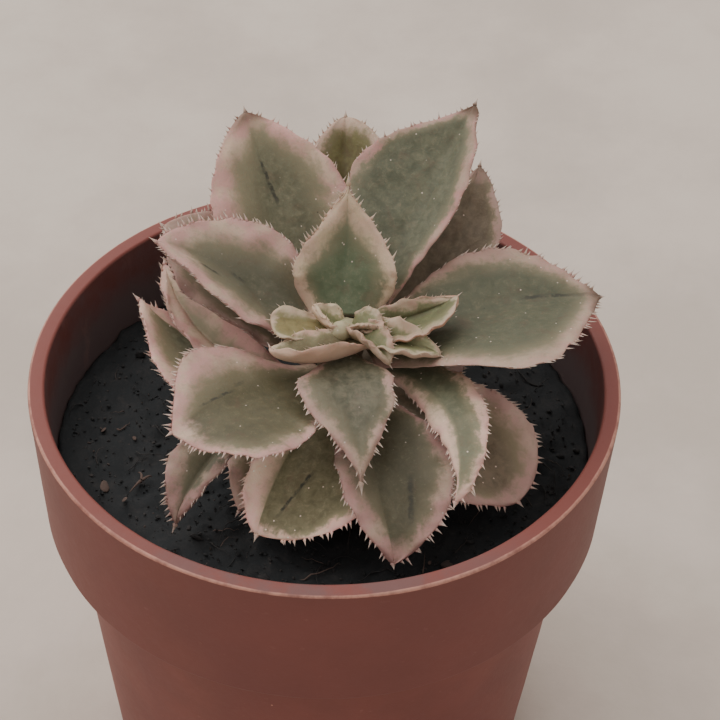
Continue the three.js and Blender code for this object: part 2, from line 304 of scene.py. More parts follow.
class Work:
    """A mesh under construction, in millimetres, with the numbers that its material reads."""

    def __init__(self, *layers: str) -> None:
        """Starts an empty mesh that carries the named numbers at its vertices."""
        self.bm = bmesh.new()
        self.layers = {name: self.bm.verts.layers.float.new(name) for name in layers}

    def mark(self, vert: bmesh.types.BMVert, marks: Layers) -> None:
        """Writes numbers that the material reads at a vertex."""
        for name, number in marks.items():
            vert[self.layers[name]] = number

    def roll(self, rings: int, sides: int, place: Callable[[float, float], Vector],
             marks: Callable[[float, float], Layers] | None = None) -> None:
        """Adds a grid that is rolled up into a closed tube with both ends drawn to a point.

        Args:
            rings: The faces along it.
            sides: The faces round it.
            place: The point at a share of the length and an angle round it.
            marks: The numbers for the material at the same two.
        """
        for vert in bmesh.ops.create_grid(self.bm, x_segments=rings, y_segments=sides, size=1.0)["verts"]:
            along = (vert.co.x + 1) / 2
            angle = math.pi * (vert.co.y + 1)
            vert.co = place(along, angle)
            if marks:
                self.mark(vert, marks(along, angle))

    def strand(self, path: Callable[[float], Vector], radius: Callable[[float], float], rings: int,
               sides: int, flat: float = 1.0, up: Vector = Vector((0, 0, 1)),
               marks: Callable[[float, float], Layers] | None = None) -> None:
        """Adds a thin rolled strand, such as a cilium or a fibre.

        Args:
            path: Its centre at a share of the length.
            radius: Its radius there.
            rings: The faces along it.
            sides: The faces round it.
            flat: Its thickness along `up` as a share of its width.
            up: The direction that it is flattened in.
            marks: The numbers for the material.
        """
        step = 0.01
        last = 1 - step

        def place(along: float, angle: float) -> Vector:
            start = min(along, last)
            forward = (path(start + step) - path(start)).normalized()
            across = forward.cross(up).normalized()
            over = across.cross(forward)
            reach = 0.0 if along in (0.0, 1.0) else radius(along)
            return path(along) + reach * (math.cos(angle) * across + flat * math.sin(angle) * over)

        self.roll(rings, sides, place, marks)

    def spin(self, profile: Iterable[tuple[float, float]], steps: int, cut: float) -> None:
        """Turns a profile of radii and heights about +Z.

        Args:
            profile: The points, from the axis round to the axis again.
            steps: The faces round it.
            cut: The longest edge along the profile, which longer ones are divided to.
        """
        verts = [self.bm.verts.new((radius, 0, height)) for radius, height in profile]
        edges = [self.bm.edges.new(pair) for pair in zip(verts, verts[1:])]
        for edge in edges:
            cuts = int(edge.calc_length() / cut)
            if cuts:
                bmesh.ops.subdivide_edges(self.bm, edges=[edge], cuts=cuts)
        geom = [*self.bm.verts, *self.bm.edges]
        bmesh.ops.spin(self.bm, geom=geom, axis=(0, 0, 1), cent=(0, 0, 0), angle=math.tau, steps=steps,
                       use_merge=True)

    def tidy(self, weld: float = 1e-4) -> None:
        """Closes seams and poles and turns the faces outwards."""
        bmesh.ops.remove_doubles(self.bm, verts=self.bm.verts, dist=weld)
        bmesh.ops.dissolve_degenerate(self.bm, edges=self.bm.edges, dist=weld)
        bmesh.ops.recalc_face_normals(self.bm, faces=self.bm.faces)

    def piece(self, name: str, material: bpy.types.Material, slot: str, *nodes: str) -> bpy.types.Object:
        """Makes the finished piece and lets it ride on the pot.

        Args:
            name: The piece's name.
            material: Its finish.
            slot: The record's material slot; not used.
            nodes: The CAD nodes that it stands for.

        Returns:
            The object.
        """
        bmesh.ops.scale(self.bm, vec=(MM, MM, MM), verts=self.bm.verts)
        for face in self.bm.faces:
            face.smooth = True
        mesh = mesh_of(self.bm, name)
        mesh.materials.append(material)
        made = linked(name, mesh)
        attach(made, "root")
        if nodes:
            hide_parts(*nodes)
        log.info("%s: %d faces", name, len(mesh.polygons))
        return made


# ---------------------------------------------------------------- the pot
@dataclass(frozen=True)
class PotFinish:
    """Moulded brown-red plastic, paler with wear and stained by soil inside, with painted shade on the collar
    and a painted highlight along the rim's outer edge.
    """

    plastic: Colour = tone(128, 71, 63)
    deep: Colour = tone(108, 60, 55)
    land: Colour = tone(132, 70, 62)
    wear_and_highlight: Colour = tone(206, 150, 132)
    dark_grey_brown: Colour = tone(104, 86, 86)
    dust: Colour = tone(166, 122, 112)
    silt: Colour = tone(112, 98, 98)
    cloud_size: float = 22.0
    fine_size: float = 1.4
    scuff_size: float = 5.0
    stain_size: float = 7.0
    chip_size: float = 4.0
    blur: float = 0.1
    land_depth: float = 0.35

    def inside(self, pot: "Pot", radius: Value, height: Value) -> Value:
        """Returns 1 on the inner wall, between the pot's floor and its rim."""
        body = height * pot.slope + pot.foot
        collar = (height - pot.collar_bottom) * (pot.draft / pot.collar) + pot.collar_foot
        outer = body.higher(collar * height.rise(pot.collar_bottom - self.blur, pot.collar_bottom))
        within = (outer - radius).rise(pot.wall * 0.5, pot.wall * 0.7)
        above_floor = height.rise(pot.recess, pot.floor_top)
        below_land = height.fall(pot.height - 0.6, pot.height - self.blur)
        return within * above_floor * below_land

    def material(self, pot: "Pot") -> bpy.types.Material:
        """Returns the material for a pot of those sizes."""
        shade = Shade("pot_plastic")
        x, y, z = shade.axes()
        radius = (x * x + y * y) ** 0.5 / MM
        height = z / MM
        cloud = shade.grain(self.cloud_size, detail=4)
        fine = shade.grain(self.fine_size, detail=4)
        colour = shade.mix(self.deep, self.plastic, 0.4 + cloud.rise(0.3, 0.65) * 0.6)
        colour = shade.mix(colour, self.dust, fine.rise(0.62, 0.8) * 0.25)
        flat = shade.vector(x / MM, y / MM, height * 4)
        scuff = shade.grain(self.scuff_size, detail=6, rough=0.7, where=flat).rise(0.66, 0.74)
        colour = shade.mix(colour, self.dust, scuff * 0.35)
        # Painted shade: the collar is coloured darker, towards the deep tone, to stand in for shade on it.
        collar_painted_shade = height.rise(pot.collar_bottom - self.blur, pot.collar_bottom + self.blur)
        colour = shade.mix(colour, self.deep, collar_painted_shade * 0.4)
        inside = self.inside(pot, radius, height)
        stain = shade.grain(self.stain_size, detail=6, rough=0.65)
        low = height.fall(pot.height - 14, pot.height - 3)
        colour = shade.mix(colour, self.silt, inside * (stain * 0.7 + low * 0.6).rise(0.15, 0.8) * 0.9)
        drawn = shade.vector(x / MM, y / MM, height * 0.5)
        smear = shade.grain(self.stain_size, detail=5, rough=0.7, where=drawn).rise(0.58, 0.7)
        colour = shade.mix(colour, self.dust, inside * smear * 0.22)
        land = height.rise(pot.height - self.land_depth, pot.height - 0.05)
        colour = shade.mix(colour, self.land, land * 0.9)
        # The land is coloured darker in patches towards the front.
        front = (y / MM).fall(-pot.rim, -pot.rim * 0.6)
        colour = shade.mix(colour, self.dark_grey_brown, land * front * stain.rise(0.35, 0.6) * 0.55)
        # Painted highlight and wear: a thin pale line along the rim's outer edge, broken in places.
        ridge = radius + height - (pot.rim + pot.height - pot.edge_round * 0.75) + (fine - 0.5) * 0.12
        near_land = height.rise(pot.height - self.land_depth - self.blur, pot.height - self.land_depth)
        highlight_and_wear_line = ridge.rise(-0.16, -0.04) * near_land
        broken = shade.grain(self.chip_size, detail=5, rough=0.7).rise(0.3, 0.6)
        colour = shade.mix(colour, self.wear_and_highlight, highlight_and_wear_line * (0.2 + broken * 0.6))
        colour = shade.mix(colour, self.dark_grey_brown, shade.specks(6, 0.22, 0.25) * 0.8)
        colour = shade.mix(colour, self.wear_and_highlight, shade.specks(7, 0.2, 0.15) * 0.7)
        rough = 0.5 + fine * 0.14 + inside * 0.2
        relief = fine * 0.25 + shade.grain(0.35, detail=2) * 0.35 + cloud * 0.5 + scuff * 0.2
        return shade.finish(colour, rough, shade.bump(relief, 0.06), Specular_IOR_Level=0.42)


@dataclass
class Pot:
    """A round nursery pot: a tapered cup with a stepped collar, a foot ring and drain holes."""

    height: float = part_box("pot")[1].z / MM
    rim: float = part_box("pot")[1].x / MM
    land: float = 2.6
    collar: float = 24.0
    draft: float = 1.4
    step: float = 3.8
    foot: float = 34.0
    wall: float = 1.8
    recess: float = 2.0
    foot_ring: float = 3.0
    floor: float = 2.0
    holes: int = 6
    hole_radius: float = 3.0
    hole_pitch: float = 20.0
    edge_round: float = 0.5
    swell: float = 0.12
    dents: float = 0.05
    sides: int = 192
    finish: PotFinish = field(default_factory=PotFinish)

    @property
    def collar_bottom(self) -> float:
        """The height of the collar's lower edge."""
        return self.height - self.collar

    @property
    def collar_foot(self) -> float:
        """The collar's radius at its lower edge."""
        return self.rim - self.draft

    @property
    def rim_inner(self) -> float:
        """The radius of the mouth at the rim."""
        return self.rim - self.land

    @property
    def inner_step(self) -> float:
        """The height of the step inside the collar."""
        return self.collar_bottom + self.wall

    @property
    def floor_top(self) -> float:
        """The height of the floor's upper face."""
        return self.recess + self.floor

    @property
    def slope(self) -> float:
        """How much the tapered body widens for each millimetre of height."""
        return (self.collar_foot - self.step - self.foot) / self.collar_bottom

    def body(self, height: float) -> float:
        """Returns the outer radius of the tapered body at a height."""
        return self.foot + self.slope * height

    def mouth(self, height: float) -> float:
        """Returns the inner radius of the collar at a height."""
        share = (height - self.inner_step) / (self.height - self.inner_step)
        return self.rim_inner - self.draft * (1 - share)

    def profile(self) -> list[tuple[float, float]]:
        """Returns the wall's section, from the middle of the underside round to the inner floor."""
        ring = self.foot - self.foot_ring
        shoulder = self.collar_bottom - self.step / 3
        return [
            (0, self.recess),
            (ring - self.recess, self.recess),
            (ring, 0),
            (self.foot, 0),
            (self.body(shoulder), shoulder),
            (self.collar_foot, self.collar_bottom),
            (self.rim, self.height),
            (self.rim_inner, self.height),
            (self.mouth(self.inner_step), self.inner_step),
            (self.body(self.collar_bottom) - self.wall, self.collar_bottom),
            (self.body(self.floor_top) - self.wall, self.floor_top),
            (0, self.floor_top),
        ]

    def build(self) -> bpy.types.Object:
        """Makes the pot, with rounded edges, a slightly uneven wall and its drain holes.

        Returns:
            The piece.
        """
        work = Work()
        work.spin(self.profile(), self.sides, cut=5.0)
        work.tidy()
        sharp = [edge for edge in work.bm.edges if edge.calc_face_angle(0.0) > math.radians(20)]
        bmesh.ops.bevel(work.bm, geom=sharp, offset=self.edge_round, segments=3, profile=0.5,
                        affect="EDGES", material=-1)
        for vert in work.bm.verts:
            uneven = self.swell * noise.noise(vert.co * 0.045) + self.dents * noise.noise(vert.co * 0.2)
            share = smoothstep(vert.co.z, 1.0, 10.0)
            outward = Vector((vert.co.x, vert.co.y, 0)).normalized()
            vert.co += outward * uneven * share
        piece = work.piece("pot_shell", self.finish.material(self), "pot", "pot")
        self.drill(piece)
        piece.data.set_sharp_from_angle(angle=math.radians(40))
        piece.modifiers.new("even_normals", "WEIGHTED_NORMAL").keep_sharp = True
        return piece

    def drill(self, piece: bpy.types.Object) -> None:
        """Cuts the drain holes through the pot's floor."""
        cutter = Work()
        for index in range(self.holes):
            middle = polar(self.hole_pitch, index * math.tau / self.holes, self.recess)
            bmesh.ops.create_cone(cutter.bm, cap_ends=True, segments=32, radius1=self.hole_radius,
                                  radius2=self.hole_radius, depth=4 * self.floor,
                                  matrix=Matrix.Translation(middle))
        bmesh.ops.scale(cutter.bm, vec=(MM, MM, MM), verts=cutter.bm.verts)
        drill = linked("drain_drill", mesh_of(cutter.bm, "drain_drill"))
        cut = piece.modifiers.new("drain_holes", "BOOLEAN")
        cut.operation = "DIFFERENCE"
        cut.solver = "EXACT"
        cut.object = drill
        seen = piece.evaluated_get(bpy.context.evaluated_depsgraph_get())
        drilled = bpy.data.meshes.new_from_object(seen)
        piece.modifiers.clear()
        piece.data = drilled
        bpy.data.objects.remove(drill)


# ---------------------------------------------------------------- the soil
@dataclass(frozen=True)
class SoilFinish:
    """Nearly black potting soil, with browner crumbs and fibres."""

    name: str = "soil_peat"
    dark: Colour = tone(45, 48, 50)
    crumb: Colour = tone(70, 67, 66)
    fleck: Colour = tone(112, 94, 86)
    cloud_size: float = 6.0
    clump_size: float = 2.2
    fine_size: float = 0.5

    def material(self) -> bpy.types.Material:
        """Returns the material."""
        shade = Shade(self.name)
        tint = shade.attribute("tint")
        cloud = shade.grain(self.cloud_size, detail=5, rough=0.6)
        fine = shade.grain(self.fine_size, detail=5, rough=0.7)
        colour = shade.mix(self.dark, self.crumb, (fine * 0.6 + cloud * 0.5 + tint * 0.35).rise(0.45, 1.0))
        clump = shade.grain(self.clump_size, detail=4, rough=0.6).rise(0.55, 0.72)
        colour = shade.mix(colour, self.crumb, clump * 0.5)
        colour = shade.mix(colour, self.fleck, tint.rise(0.8, 1.0))
        colour = shade.mix(colour, self.fleck, shade.specks(1.8, 0.14, 0.2) * 0.5)
        return shade.finish(colour, 0.75 + fine * 0.2, shade.bump(fine + cloud * 0.3, 0.09),
                            Specular_IOR_Level=0.3)


@dataclass
class Soil:
    """The soil in the pot, with loose crumbs, rootlets and dry litter on its surface."""

    pot: Pot
    below_rim: float = 14.5
    lump: float = 0.45
    relief: float = 1.1
    mound: float = 1.6
    mound_spread: float = 20.0
    gap: float = 0.3
    margin: float = 2.0
    crumbs: int = 2600
    clods: int = 60
    fibres: int = 110
    twig: tuple[tuple[float, float], ...] = ((-29.2, -13.6), (-27.4, -11.3), (-28.3, -8.9), (-25.9, -10.2))
    flakes: tuple[tuple[float, float, float], ...] = (
        (-33.0, -12.0, 1.0), (-29.5, -15.4, 0.6), (-34.5, 0.5, 0.5), (-29.5, -1.5, 0.45), (16.6, -24.7, 0.4))
    seed: int = 11
    finish: SoilFinish = field(default_factory=SoilFinish)

    @property
    def top(self) -> float:
        """The height of the soil's surface."""
        return self.pot.height - self.below_rim

    def height(self, x: float, y: float) -> float:
        """Returns the height of the surface at a place, with its lumps and its mound."""
        lumps = math.sin(0.42 * x + 1.1) * math.cos(0.37 * y - 0.6)
        lumps += 0.6 * math.sin(0.83 * x - 0.5 * y) * math.cos(0.29 * x + 0.71 * y + 2)
        mound = self.mound * math.exp(-(x * x + y * y) / self.mound_spread ** 2)
        return self.top + mound + self.lump * lumps

    def surface(self, x: float, y: float) -> float:
        """Returns the height at a place with the finer, crumbly relief on it."""
        rough = noise.turbulence(Vector((x, y, self.top)) * 0.55, 4, True) - 0.5
        return self.height(x, y) + self.relief * rough

    def build(self) -> None:
        """Makes the bed, its crumbs, its fibres and the litter."""
        material = self.finish.material()
        self.bed(material)
        self.scatter(material)
        self.rootlets(material)
        self.litter(material)

    def bed(self, material: bpy.types.Material) -> None:
        """Makes the filling of the pot, with a crumbly upper face."""
        pot = self.pot
        gap = self.gap
        step = pot.inner_step + gap
        work = Work("tint")
        work.spin([
            (0, pot.floor_top + gap),
            (pot.body(pot.floor_top) - pot.wall - gap, pot.floor_top + gap),
            (pot.body(pot.collar_bottom) - pot.wall - gap, pot.collar_bottom),
            (pot.mouth(step) - 2 * gap, step + gap),
            (pot.mouth(self.top) - gap, self.top),
            (0, self.top),
        ], steps=200, cut=0.7)
        work.tidy()
        for vert in work.bm.verts:
            if vert.co.z > self.top - gap:
                vert.co.z = self.surface(vert.co.x, vert.co.y)
        work.piece("soil_bed", material, "soil", "soil")

    def spot(self, draw: random.Random) -> Vector:
        """Returns a random place on the surface."""
        angle = draw.uniform(0, math.tau)
        place = polar((self.pot.mouth(self.top) - self.margin) * math.sqrt(draw.random()), angle)
        place.z = self.surface(place.x, place.y)
        return place

    def scatter(self, material: bpy.types.Material) -> None:
        """Makes the loose crumbs and the larger clods."""
        draw = random.Random(self.seed)
        work = Work("tint")
        for index in range(self.crumbs + self.clods):
            clod = index < self.clods
            size = draw.uniform(0.5, 1.0) if clod else draw.uniform(0.12, 0.42)
            squeeze = Matrix.Diagonal((1, draw.uniform(0.5, 1), draw.uniform(0.35, 0.7), 1))
            turn = Matrix.Rotation(draw.uniform(0, math.tau), 4, Vector((draw.random(), draw.random(), 1)))
            where = self.spot(draw) + Vector((0, 0, size * draw.uniform(0.0, 0.4)))
            matrix = Matrix.Translation(where) @ turn @ squeeze
            lump = bmesh.ops.create_icosphere(work.bm, subdivisions=2 if clod else 1, radius=size,
                                              matrix=matrix)
            tint = 0.27 + 0.63 * draw.random() ** 2
            for vert in lump["verts"]:
                away = vert.co - where
                vert.co = where + away * (1 + 0.4 * noise.noise(vert.co * (1.4 / size)))
                work.mark(vert, {"tint": tint})
        work.tidy()
        work.piece("soil_crumbs", material, "soil").data.shade_flat()

    def rootlets(self, material: bpy.types.Material) -> None:
        """Makes the fibres that lie on the surface."""
        draw = random.Random(self.seed + 1)
        work = Work("tint")
        limit = self.pot.mouth(self.top) - 0.8
        for _ in range(self.fibres):
            start = self.spot(draw)
            heading = draw.uniform(0, math.tau)
            sway = draw.uniform(-1.2, 1.2)
            length = draw.uniform(2.5, 8.0)
            thick = draw.uniform(0.06, 0.16)
            arch = draw.uniform(0.1, 0.9)

            def path(u: float) -> Vector:
                spot = start + polar(length * u, heading + sway * u)
                flat = Vector((spot.x, spot.y, 0))
                if flat.length > limit:
                    flat *= limit / flat.length
                lift = 0.2 + arch * math.sin(math.pi * u)
                return Vector((flat.x, flat.y, self.surface(flat.x, flat.y) + lift))

            tint = draw.uniform(0.55, 1.0)
            work.strand(path, lambda u: thick * (1.15 - u), rings=8, sides=5,
                        marks=lambda u, a: {"tint": tint})
        work.tidy()
        work.piece("soil_fibres", material, "soil")

    def litter(self, material: bpy.types.Material) -> None:
        """Makes a forked dry twig and a few pale flakes, which lie at the left of the front."""
        draw = random.Random(self.seed + 2)
        work = Work("tint")
        foot, fork, *ends = (Vector((x, y, self.surface(x, y) + 0.7)) for x, y in self.twig)
        for low, high, thick in ((fork, foot, 0.3), *((fork, end, 0.24) for end in ends)):
            work.strand(lambda u: low.lerp(high, u) + Vector((0.25, 0.3, 0.3)) * math.sin(math.pi * u),
                        lambda u: thick * (1.2 - u), rings=10, sides=6, marks=lambda u, a: {"tint": 0.97})
        for x, y, size in self.flakes:
            where = Vector((x, y, self.surface(x, y) + 0.3))
            turn = Matrix.Rotation(draw.uniform(0, math.tau), 4, "Z") @ Matrix.Rotation(0.4, 4, "X")
            matrix = Matrix.Translation(where) @ turn @ Matrix.Diagonal((size, 0.7 * size, 0.2 * size, 1))
            flake = bmesh.ops.create_icosphere(work.bm, subdivisions=3, radius=1.0, matrix=matrix)
            for vert in flake["verts"]:
                vert.co += (vert.co - where) * 0.5 * noise.noise(vert.co * 0.9)
                work.mark(vert, {"tint": 0.95})
        work.tidy()
        work.piece("soil_litter", material, "soil")


# ---------------------------------------------------------------- the stem
@dataclass(frozen=True)
class StemFinish:
    """Pale brown bark with darker leaf scars."""

    bark: Colour = tone(112, 98, 72)
    scar: Colour = tone(66, 54, 44)

    def material(self) -> bpy.types.Material:
        """Returns the material."""
        shade = Shade("stem_bark")
        x, y, z = shade.axes()
        bands = shade.grain(3, detail=4, where=shade.vector(x / MM * 0.4, y / MM * 0.4, z / MM * 2))
        fine = shade.grain(0.6, detail=4)
        colour = shade.mix(self.scar, self.bark, (bands * 0.7 + fine * 0.4).rise(0.35, 0.75))
        return shade.finish(colour, 0.7 + fine * 0.2, shade.bump(bands + fine * 0.4, 0.2))


@dataclass(frozen=True)
class Stem:
    """The short stem, which leans a little above the soil."""

    radius: float = 3.4
    foot: tuple[float, float, float] = (1.0, 3.0, 56.0)
    top: tuple[float, float, float] = (2.5, 0.5, 87.0)
    soil_top: float = 65.5
    bark_inset: float = 0.15
    ring_depth: float = 0.16
    ring_phase: float = 3.6

    def axis(self, height: float) -> Vector:
        """Returns the middle of the stem at a height."""
        lean = max((height - self.soil_top) / (self.top[2] - self.soil_top), 0.0)
        foot, top = Vector(self.foot), Vector(self.top)
        middle = foot + (top - foot) * lean
        return Vector((middle.x, middle.y, height))

    def build(self) -> None:
        """Makes the stem, with the rings that shed leaves left on it."""
        work = Work()
        low, high = self.foot[2], self.top[2] + 0.6

        def place(along: float, angle: float) -> Vector:
            height = low + (high - low) * along
            ringed = self.ring_depth * math.sin(height * self.ring_phase + 2 * math.sin(angle))
            end = 0.0 if along in (0.0, 1.0) else 1.0
            return self.axis(height) + polar(end * (self.radius - self.bark_inset + ringed), angle)

        work.roll(70, 28, place)
        work.tidy()
        work.piece("stem_bark", StemFinish().material(), "stem", "stem")


# ---------------------------------------------------------------- the leaves
class Side(Enum):
    """A half of a leaf, looking out from the stem, with its sign across the blade."""

    LEFT = 1
    RIGHT = -1

    @property
    def index(self) -> int:
        """The half's place in a pair that is given as left and right."""
        return 0 if self is Side.LEFT else 1

    @staticmethod
    def at(t: float) -> "Side":
        """Returns the half that a place `t` across the blade is on."""
        return Side.LEFT if t >= 0 else Side.RIGHT


def opened(s: float) -> float:
    """Returns 1 on the open blade, with smooth falls to 0 at its root and its tip."""
    return smoothstep(s, 0.05, 0.3) * smoothstep(1 - s, 0.02, 0.2)


class Spot(NamedTuple):
    """A place on a blade, with its upward normal, the way past its margin and the way to its tip."""

    point: Vector
    normal: Vector
    outward: Vector
    forward: Vector


@dataclass(frozen=True)
class Blade:
    """The middle surface of a leaf.

    A leaf springs from the stem at height `at`, `root` away from the stem's axis, and runs to its
    tip. `start` and `end` are its midrib's slopes there, and `bend` springs it from further round
    the stem, to curve back. Pairs are for the left and the right half, looking out from the stem:
    their share of the width, how pointed they are, and how far they rise from the midrib. `pull` is
    how far the midrib's two ends pull it straight, as a share of its length.
    """

    tip: tuple[float, float, float]
    at: float = 88.0
    root: float = 3.7
    start: float = 20.0
    end: float = 0.0
    bend: float = 0.0
    width: float = 17.0
    belly: float = 0.6
    foot: float = 0.25
    wide: tuple[float, float] = (1.0, 1.0)
    round: tuple[float, float] = (0.9, 0.9)
    fold: tuple[float, float] = (12.0, 12.0)
    curl: float = 12.0
    turn: float = 0.0
    pull: float = 0.36
    stem: Stem = Stem()

    @lru_cache(maxsize=4096)
    def midrib(self, s: float) -> tuple[Vector, Vector, Vector, Vector]:
        """Returns the midrib's point at a share of its length, and the ways forward, across and up."""
        foot = self.stem.axis(self.at)
        tip = Vector(self.tip)
        azimuth = math.atan2(tip.y - foot.y, tip.x - foot.x)

        def heading(yaw: float, slope: float) -> Vector:
            return polar(math.cos(slope), azimuth + yaw, math.sin(slope))

        bend = math.radians(self.bend)
        base = foot + heading(bend, 0) * self.root
        reach = (tip - base).length * self.pull
        first = base + heading(bend, math.radians(self.start)) * reach
        second = tip - heading(-bend, math.radians(self.end)) * reach
        r = 1 - s
        point = base * r ** 3 + first * (3 * r * r * s) + second * (3 * r * s * s) + tip * s ** 3
        heads = (first - base) * r * r + (second - first) * (2 * r * s) + (tip - second) * s * s
        forward = heads.normalized()
        across = Vector((-forward.y, forward.x, 0)).normalized()
        return point, forward, across, forward.cross(across)

    def half_width(self, side: Side, s: float) -> float:
        """Returns the width of one half at a share of the length."""
        swell = math.sin(math.pi / 2 * min(s / self.belly, 1.0)) ** 1.5
        past = max((s - self.belly) / (1 - self.belly), 0.0)
        taper = max(math.cos(math.pi / 2 * past), 0.0) ** self.round[side.index]
        share = self.foot + (1 - self.foot) * swell
        return self.width / 2 * self.wide[side.index] * share * taper

    def spot(self, s: float, t: float) -> Spot:
        """Returns the place at `s` along the midrib and `t` across, from -1 (right) to 1 (left)."""
        point, forward, across, up = self.midrib(s)
        side = Side.at(t)
        ramp = smoothstep(s, 0.0, 0.35)
        width = self.half_width(side, s)
        fold = math.radians(self.fold[side.index]) * ramp
        curl = max(math.radians(self.curl) * ramp, 1e-6)
        turn = math.radians(self.turn) * ramp
        angle = fold + curl * abs(t)
        flat = side.value * width * (math.sin(angle) - math.sin(fold)) / curl
        lift = width * (math.cos(fold) - math.cos(angle)) / curl
        x = flat * math.cos(turn) - lift * math.sin(turn)
        y = flat * math.sin(turn) + lift * math.cos(turn)
        tilt = side.value * angle * min(abs(t) * 8, 1.0) + turn
        normal = up * math.cos(tilt) - across * math.sin(tilt)
        outward = (across * math.cos(tilt) + up * math.sin(tilt)) * side.value
        return Spot(point + across * x + up * y, normal, outward, forward)

    def length(self) -> float:
        """Returns the midrib's length."""
        points = [self.midrib(i / 16)[0] for i in range(17)]
        return sum((b - a).length for a, b in zip(points, points[1:]))


@dataclass(frozen=True)
class Scratch:
    """A dark healed scratch, by its ends: along the midrib (0 to 1) and across, in millimetres."""

    start: tuple[float, float]
    end: tuple[float, float]
    width: float = 0.35
    strength: float = 0.8


@dataclass(frozen=True)
class LeafFinish:
    """A variegated leaf: a green middle in a pale, blushing margin, with white and dark specks, and painted
    light and shade that make the whole leaf lighter or darker.
    """

    name: str
    green: Colour = tone(108, 105, 83)
    deep: Colour = tone(84, 83, 64)
    halo: Colour = tone(146, 134, 108)
    margin: Colour = tone(206, 178, 158)
    blush: Colour = tone(206, 158, 152)
    under: Colour = tone(156, 134, 126)
    cilium: Colour = tone(216, 198, 184)
    brown: Colour = tone(96, 76, 60)
    mark: Colour = tone(44, 44, 38)
    rust: Colour = tone(132, 78, 72)
    rusty: float = 0.15
    # Painted light and shade: a factor that colours the whole leaf lighter or darker for how much light falls
    # on it.
    light: float = 1.0
    band: tuple[float, float] = (2.6, 2.6)
    tip_band: float = 3.0
    pinkness: float = 0.5
    tip_brown: float = 0.0
    scratches: tuple[Scratch, ...] = ()
    streak_size: float = 1.2
    cloud_size: float = 6.0
    mottle_size: float = 1.3
    fine_size: float = 0.35
    blotch_size: float = 3.5
    blush_size: float = 5.0
    wobble: tuple[float, float, float] = (5.2, 3.0, 2.0)

    def material(self, length: float) -> bpy.types.Material:
        """Returns the material.

        Args:
            length: The midrib's length, in millimetres.

        Returns:
            The material, which reads the blade's own measures at its vertices.
        """
        shade = Shade(self.name)
        edge = shade.attribute("edge")
        along = shade.attribute("along")
        across = shade.attribute("across")
        under = shade.attribute("underside")
        cilium = shade.attribute("cilium")
        to_tip = (1.0 - along) * length
        flow = shade.vector(along * (length * 0.3), across * 0.9, 0.0)
        streak = shade.grain(self.streak_size, detail=4, rough=0.6, where=flow)
        cloud = shade.grain(self.cloud_size, detail=4, rough=0.6)
        mottle = shade.grain(self.mottle_size, detail=4, rough=0.65, warp=0.4)
        fine = shade.grain(self.fine_size, detail=3, rough=0.65)
        by_cloud, by_mottle, by_streak = self.wobble
        wobble = (cloud - 0.5) * by_cloud + (mottle - 0.5) * by_mottle + (streak - 0.5) * by_streak
        lean = across.rise(-2.0, 2.0)
        opening = 0.45 + along.rise(0.15, 0.6) * 0.55
        band = (self.band[1] + (self.band[0] - self.band[1]) * lean) * opening
        depth = (edge + wobble) / band
        at_tip = (to_tip + wobble).fall(self.tip_band * 0.3, self.tip_band * 1.2)
        fringe = depth.fall(0.3, 1.35).higher(at_tip)
        patches = (mottle * 0.7 + cloud * 0.5 + streak * 0.25).rise(0.52, 0.88)
        colour = shade.mix(self.deep, self.green, patches)
        colour = shade.mix(colour, self.halo, (mottle * 0.6 + fine * 0.5).rise(0.58, 0.72) * 0.22)
        blotch = shade.grain(self.blotch_size, detail=5, rough=0.7, warp=0.6)
        colour = shade.mix(colour, self.brown, blotch.rise(0.52, 0.7) * 0.4)
        colour = shade.mix(colour, self.halo, depth.fall(0.7, 2.4) * 0.6)
        rim = self.rim(shade, edge, mottle, fine)
        colour = shade.mix(colour, rim, fringe * (0.85 + (mottle - 0.5) * 0.6).lower(1.0))
        colour = shade.mix(colour, self.under, under * 0.75)
        line = (edge + (fine - 0.5) * 0.5).fall(0.05, 0.4) * cloud.rise(0.42, 0.6)
        colour = shade.mix(colour, self.rust, line * self.rusty)
        if self.tip_brown:
            burnt = (to_tip + wobble * 0.4).fall(0.3, 3.0) * self.tip_brown
            colour = shade.mix(colour, self.brown, burnt)
        colour = self.marked(shade, colour, along, across, under)
        # Painted light and shade: the leaf's colour is scaled by its light factor.
        colour = shade.scale(colour, self.light)
        colour = shade.mix(colour, self.cilium, cilium.rise(0.15, 0.8) * 0.8)
        relief = streak * 0.25 + mottle * 0.5 + fine * 0.25 + cloud * 0.4
        rough = 0.52 + fine * 0.15 + fringe * 0.06
        return shade.finish(colour, rough, shade.bump(relief, 0.14), Specular_IOR_Level=0.38,
                            Subsurface_Weight=0.06, Subsurface_Scale=0.002)

    def rim(self, shade: Shade, edge: Value, mottle: Value, fine: Value) -> bpy.types.NodeSocket:
        """Returns the colour of the pale margin, which blushes in patches and at its very edge."""
        pink = shade.grain(self.blush_size, detail=3).rise(0.38, 0.62) * 0.9 + edge.fall(0.0, 1.1) * 0.35
        colour = shade.mix(self.margin, self.blush, (pink * self.pinkness * 1.6).lower(1.0))
        return shade.mix(colour, self.halo, (mottle + fine * 0.3).rise(0.62, 0.85) * 0.35)

    def marked(self, shade: Shade, colour: bpy.types.NodeSocket, along: Value, across: Value,
               under: Value) -> bpy.types.NodeSocket:
        """Returns the colour with dark and white specks and the scratches on it."""
        colour = shade.mix(colour, self.mark, shade.specks(2.6, 0.15, 0.25) * 0.7)
        colour = shade.mix(colour, self.cilium, shade.specks(1.7, 0.16, 0.5) * (1.0 - under) * 0.85)
        rasped = shade.grain(1.1, detail=3)
        for scratch in self.scratches:
            cut = self.cut(scratch, along, across, rasped)
            colour = shade.mix(colour, self.mark, cut * scratch.strength)
        return colour

